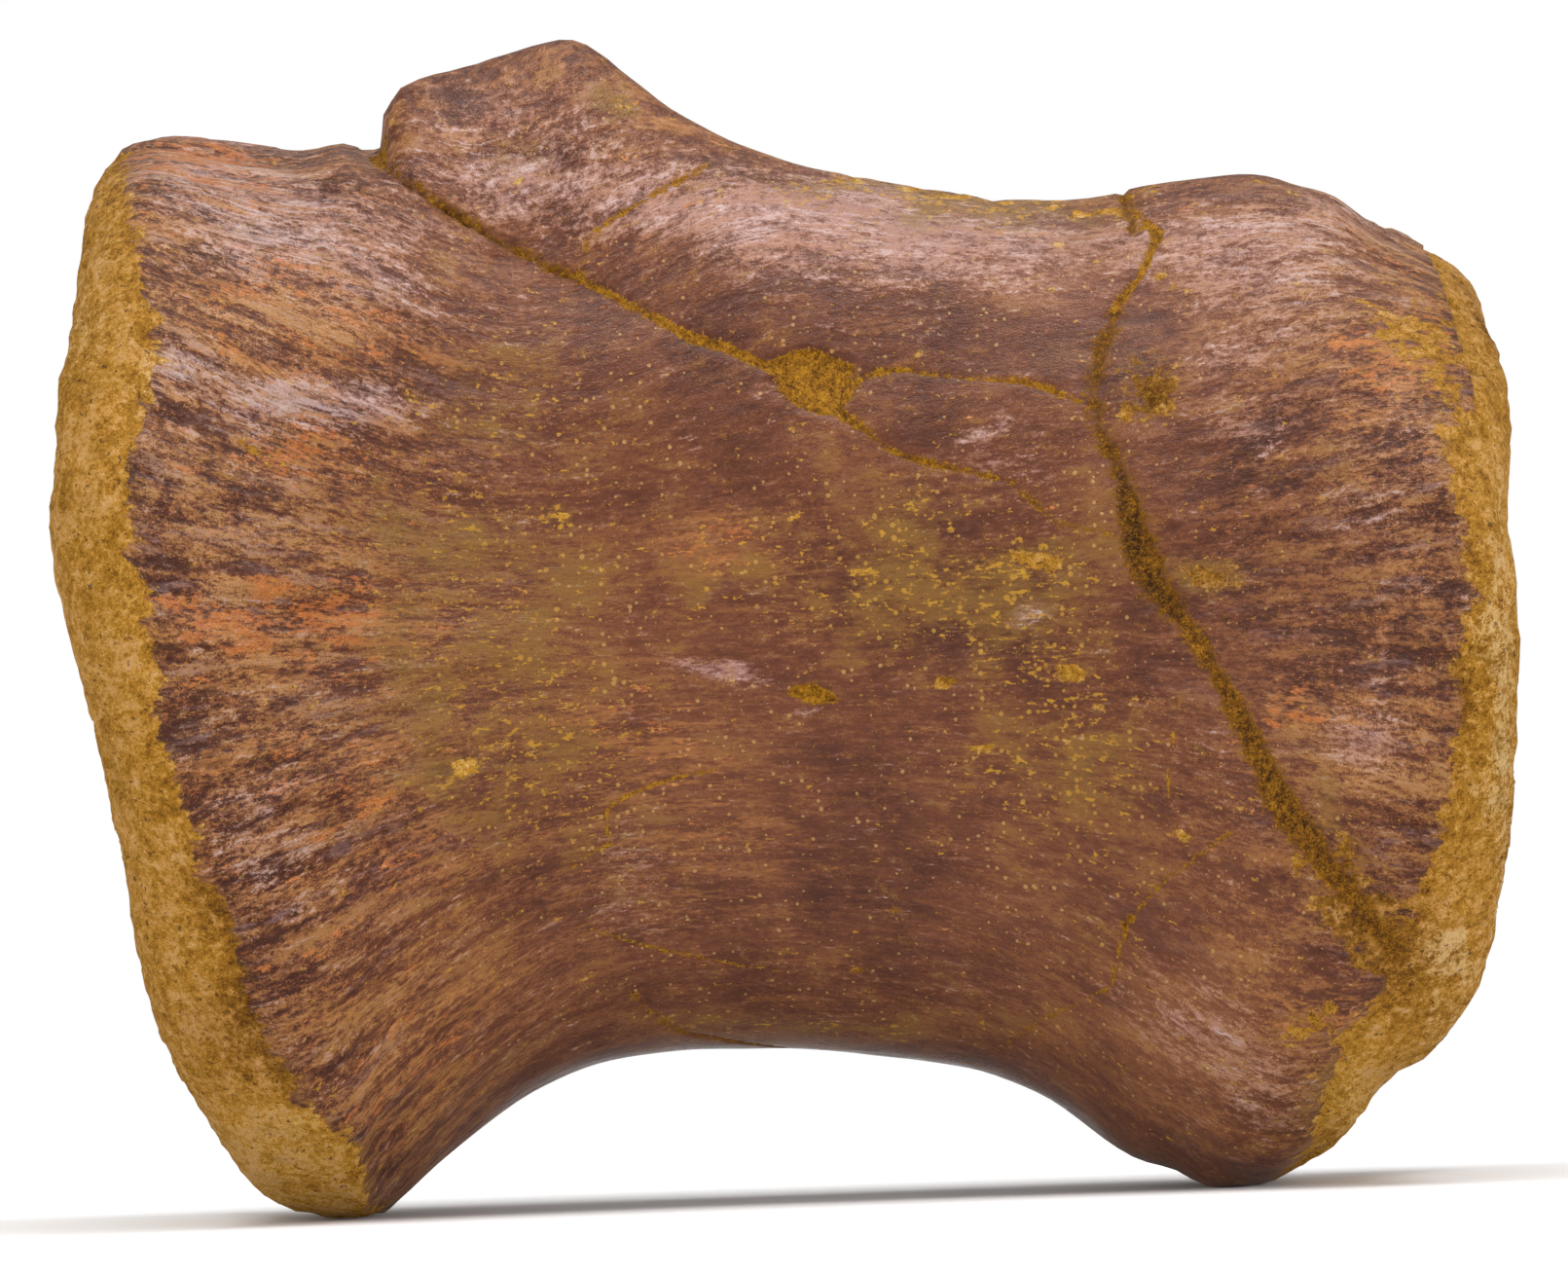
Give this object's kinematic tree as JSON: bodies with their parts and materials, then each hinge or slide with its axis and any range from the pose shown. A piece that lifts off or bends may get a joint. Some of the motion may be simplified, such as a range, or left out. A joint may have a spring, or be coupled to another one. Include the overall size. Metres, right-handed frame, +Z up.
{
  "type": "fossil dinosaur vertebra",
  "caption": "Spool-shaped body of a fossil vertebra, standing on its worn rims, with sand-filled cracks and crusted ends.",
  "frame": {"origin": "middle of the bounding box in X and Y, on the surface that the bone stands on", "axes": "+X along the bone from its higher crest to its lower one, -Y out of the side with the filled hole and the long crack, +Z up towards the broken arch"},
  "size_m": [0.1202, 0.0784, 0.0967],
  "materials": {
    "fossil_bone": "matt red-brown mineralised bone with ochre sandstone crust, satin where it is worn"
  },
  "bodies": {
    "root": {"vertebra": "fossil_bone"}
  },
  "joints": []
}
